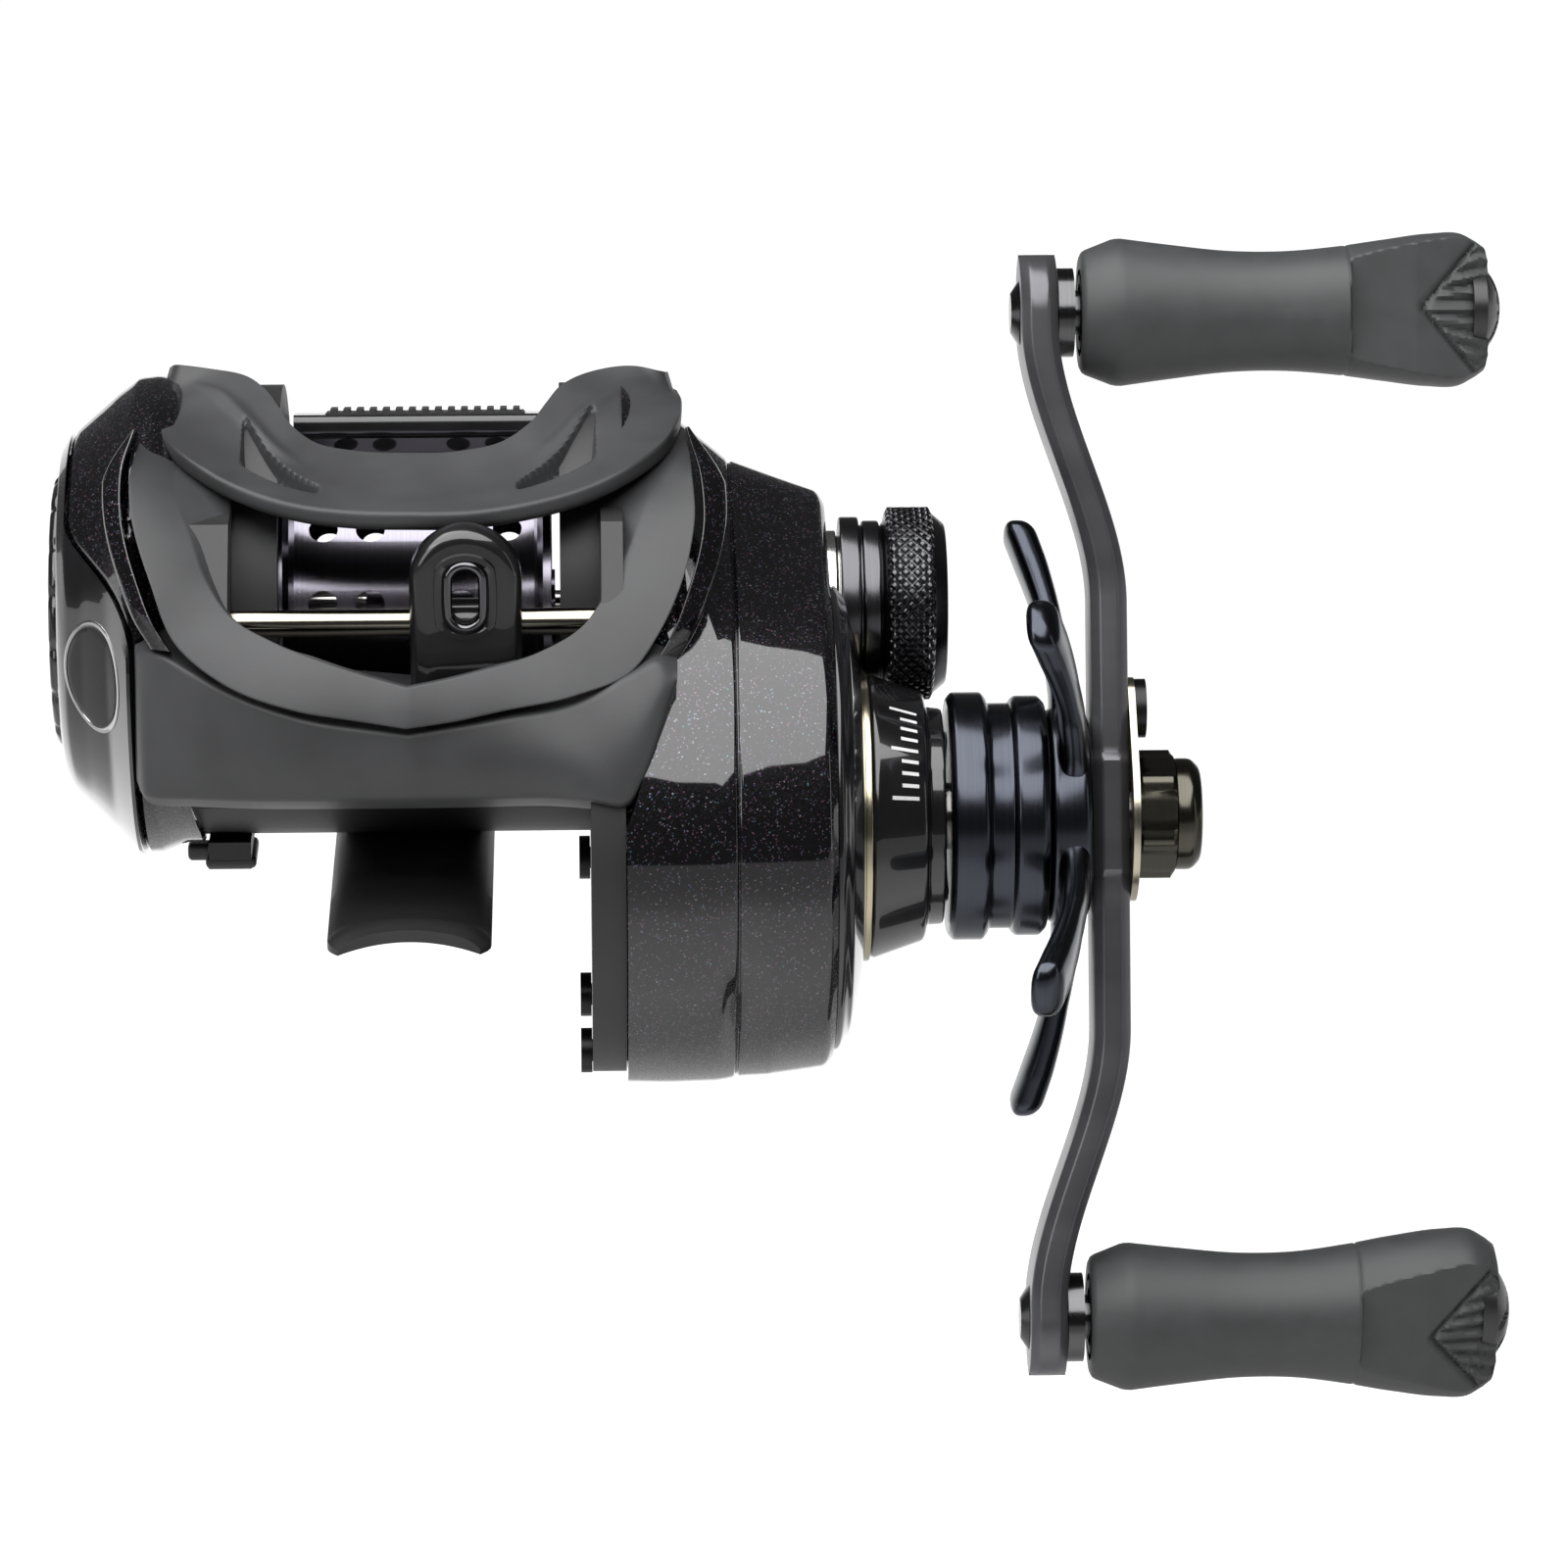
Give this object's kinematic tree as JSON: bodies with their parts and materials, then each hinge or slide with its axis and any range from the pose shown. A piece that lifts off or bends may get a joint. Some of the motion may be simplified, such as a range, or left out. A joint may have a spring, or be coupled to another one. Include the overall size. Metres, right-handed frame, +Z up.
{
  "type": "baitcasting reel",
  "caption": "Low-profile baitcasting reel with a double-knob crank handle, star drag, level-wind line guide, thumb clutch bar and a foot that clamps under a rod's reel seat.",
  "frame": {"origin": "middle of the reel foot's underside, where it rests on the rod's reel seat", "axes": "+X along the spool axis towards the handle; -Y forward, the way the line leaves; +Z up from the foot to the spool"},
  "size_m": [0.13, 0.0722, 0.0998],
  "materials": {
    "frame_black": "black anodised, satin",
    "foot_black": "black anodised, satin",
    "rivet_steel": "satin",
    "cover_satin": "satin black moulding",
    "case_metallic": "metallic black under clear coat",
    "gloss_black": "gloss black",
    "screw_black": "black zinc",
    "gold_trim": "pale gold anodised",
    "boss_silver": "machined",
    "bearing_steel": "ground",
    "rod_steel": "polished",
    "bushing_resin": "moulded",
    "shaft_steel": "ground",
    "gear_brass": "machined",
    "gear_resin": "moulded",
    "carbon_disc": "woven carbon",
    "arm_black": "gloss black anodised",
    "nut_smoke": "smoke anodised",
    "star_blue_black": "blue-black anodised",
    "spool_silver": "machined and anodised",
    "yoke_resin": "moulded",
    "guide_gloss": "gloss black",
    "eye_chrome": "polished",
    "cap_black": "black anodised, knurled",
    "bar_gloss": "gloss black",
    "pad_rubber": "ribbed",
    "badge_black": "gloss black",
    "magnet_steel": "plated",
    "knob_rubber": "soft touch",
    "knob_end": "gloss black"
  },
  "bodies": {
    "reel_frame": {"frame": "frame_black", "reel_foot": "foot_black", "foot_rivets": "rivet_steel", "front_cover": "cover_satin", "gear_case": "case_metallic", "case_dome": "gloss_black", "housing_screws": "screw_black", "drag_boss": "gloss_black", "boss_ring": "gold_trim", "cap_boss": "boss_silver", "one_way_bearing": "bearing_steel", "drive_shaft_bearing": "bearing_steel", "pinion_bearing": "bearing_steel", "spool_bearing_right": "bearing_steel", "guide_rod": "rod_steel", "worm_bushings": "bushing_resin", "yoke_pins": "rod_steel"},
    "handle": {"drive_shaft": "shaft_steel", "drive_gear": "gear_brass", "train_drive_gear": "gear_resin", "drag_washers": "carbon_disc", "pressure_plate": "bearing_steel", "one_way_sleeve": "shaft_steel", "spring_washers": "bearing_steel", "handle_arm": "arm_black", "nut_retainer": "gold_trim", "retainer_screw": "screw_black", "handle_nut": "nut_smoke", "knob_posts": "shaft_steel"},
    "star_drag": {"star_wheel": "star_blue_black", "star_hub": "star_blue_black", "drag_nut": "gear_brass"},
    "upper_knob": {"knob_grip_upper": "knob_rubber", "knob_cap_upper": "knob_end", "knob_bearings_upper": "bearing_steel"},
    "lower_knob": {"knob_grip_lower": "knob_rubber", "knob_cap_lower": "knob_end", "knob_bearings_lower": "bearing_steel"},
    "spool_set": {"spool": "spool_silver", "spool_shaft": "shaft_steel", "spool_pin": "shaft_steel"},
    "clutch": {"clutch_yoke": "yoke_resin"},
    "pinion": {"pinion_gear": "gear_brass"},
    "worm": {"worm_shaft": "shaft_steel", "worm_gear": "gear_resin"},
    "idler": {"idler_gear": "gear_resin"},
    "carriage": {"line_guide": "guide_gloss", "guide_eye": "eye_chrome", "level_pawl": "shaft_steel"},
    "cast_control": {"cast_cap": "cap_black", "cap_shim": "bushing_resin"},
    "thumb_release": {"thumb_bar": "bar_gloss", "thumb_pad": "pad_rubber"},
    "palm_plate": {"palm_side_plate": "case_metallic", "badge": "badge_black", "spool_bearing_left": "bearing_steel", "brake_magnets": "magnet_steel"},
    "dial": {"brake_dial": "gloss_black"},
    "latch": {"side_latch": "cover_satin"}
  },
  "joints": [
    {"name": "handle_turn", "type": "hinge", "parent": "reel_frame", "child": "handle", "pos_m": [0.062, -0.01407, 0.00677], "axis": [1, 0, 0], "continuous": true},
    {"name": "star_turn", "type": "hinge", "parent": "handle", "child": "star_drag", "pos_m": [0.058, -0.01407, 0.00677], "axis": [1, 0, 0], "range_deg": [-270, 270]},
    {"name": "upper_knob_spin", "type": "hinge", "parent": "handle", "child": "upper_knob", "pos_m": [0.075, -0.00016, 0.04957], "axis": [1, 0, 0], "continuous": true},
    {"name": "lower_knob_spin", "type": "hinge", "parent": "handle", "child": "lower_knob", "pos_m": [0.075, -0.02797, -0.03602], "axis": [1, 0, 0], "continuous": true},
    {"name": "spool_spin", "type": "hinge", "parent": "reel_frame", "child": "spool_set", "pos_m": [0, 0, 0.0225], "axis": [1, 0, 0], "continuous": true},
    {"name": "clutch_slide", "type": "slide", "parent": "reel_frame", "child": "clutch", "axis": [1, 0, 0], "range_m": [0, 0.00165]},
    {"name": "pinion_spin", "type": "hinge", "parent": "clutch", "child": "pinion", "pos_m": [0.025, 0, 0.0225], "axis": [1, 0, 0], "continuous": true},
    {"name": "worm_spin", "type": "hinge", "parent": "reel_frame", "child": "worm", "pos_m": [0, -0.0225, 0.0195], "axis": [1, 0, 0], "continuous": true},
    {"name": "idler_spin", "type": "hinge", "parent": "reel_frame", "child": "idler", "pos_m": [0.02, -0.01972, 0.01279], "axis": [1, 0, 0], "continuous": true},
    {"name": "line_guide_travel", "type": "slide", "parent": "reel_frame", "child": "carriage", "axis": [1, 0, 0], "range_m": [-0.0148, 0.0059]},
    {"name": "cast_control_turn", "type": "hinge", "parent": "reel_frame", "child": "cast_control", "pos_m": [0.044, 0, 0.0225], "axis": [1, 0, 0], "range_deg": [-180, 180]},
    {"name": "thumb_bar_press", "type": "slide", "parent": "reel_frame", "child": "thumb_release", "axis": [0, 0.5, -0.866], "range_m": [0, 0.0035], "stiffness_N_per_m": 400, "springref_m": -0.001},
    {"name": "side_plate_off", "type": "slide", "parent": "reel_frame", "child": "palm_plate", "axis": [-1, 0, 0], "range_m": [0, 0.025]},
    {"name": "brake_dial_turn", "type": "hinge", "parent": "palm_plate", "child": "dial", "pos_m": [-0.031, 0, 0.0225], "axis": [1, 0, 0], "range_deg": [0, 240]},
    {"name": "side_latch_slide", "type": "slide", "parent": "reel_frame", "child": "latch", "axis": [0, 1, 0], "range_m": [0, 0.003]}
  ],
  "couplings": [
    {"joint": "spool_spin", "follows": "handle_turn", "ratio": -6.4},
    {"joint": "pinion_spin", "follows": "handle_turn", "ratio": -6.4},
    {"joint": "idler_spin", "follows": "handle_turn", "ratio": -1.75},
    {"joint": "worm_spin", "follows": "handle_turn", "ratio": 1.2353},
    {"joint": "clutch_slide", "follows": "thumb_bar_press", "ratio": 0.45714}
  ]
}
